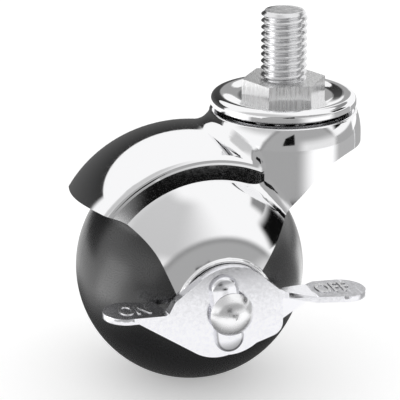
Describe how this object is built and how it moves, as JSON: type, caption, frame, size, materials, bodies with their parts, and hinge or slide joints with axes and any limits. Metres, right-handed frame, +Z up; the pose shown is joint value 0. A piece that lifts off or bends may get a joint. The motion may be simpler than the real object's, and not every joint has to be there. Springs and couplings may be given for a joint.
{
  "type": "hooded ball castor with threaded stem and brake",
  "caption": "Swivel ball castor with a chromed hood over a black ball wheel, a threaded stem with a hex nut, and a rocker brake lever worked by foot.",
  "frame": {"origin": "on the stem's axis at the hex nut's top face, where the castor meets the furniture", "axes": "+Z up along the stem's screw end, the wheel trails towards -X, the wheel's axle runs along Y with the brake lever on the -Y side"},
  "size_m": [0.0646, 0.0628, 0.081],
  "materials": {
    "chrome": "polished",
    "zinc_steel": "zinc plated",
    "nut_steel": "bright zinc plated",
    "bearing_steel": "ground",
    "black_plastic": "satin",
    "black_rubber": "matte",
    "white_nylon": "matte"
  },
  "bodies": {
    "stem_head": {"threaded_stem": "zinc_steel", "stem_nut": "nut_steel", "top_cap": "chrome", "upper_race": "bearing_steel"},
    "swivel": {"hood": "chrome", "lower_race": "bearing_steel", "bearing_balls": "bearing_steel", "dust_ring": "black_rubber", "kingpin_washer": "zinc_steel", "axle_rivet": "chrome", "axle_washer": "chrome", "near_thrust_washer": "white_nylon", "far_thrust_washer": "white_nylon", "brake_disc": "bearing_steel", "lever_spring": "bearing_steel", "lever_washer": "chrome"},
    "wheel": {"wheel_half_near": "black_plastic", "wheel_half_far": "black_plastic", "wheel_sleeve": "bearing_steel"},
    "lever": {"brake_lever": "chrome"}
  },
  "joints": [
    {"name": "swivel_turn", "type": "hinge", "parent": "stem_head", "child": "swivel", "pos_m": [0, 0, -0.009], "axis": [0, 0, 1], "continuous": true},
    {"name": "wheel_roll", "type": "hinge", "parent": "swivel", "child": "wheel", "pos_m": [-0.0214, 0, -0.041], "axis": [0, 1, 0], "continuous": true},
    {"name": "brake_press", "type": "hinge", "parent": "swivel", "child": "lever", "pos_m": [-0.0214, -0.0288, -0.041], "axis": [0, -1, 0], "range_deg": [0, 20]}
  ]
}
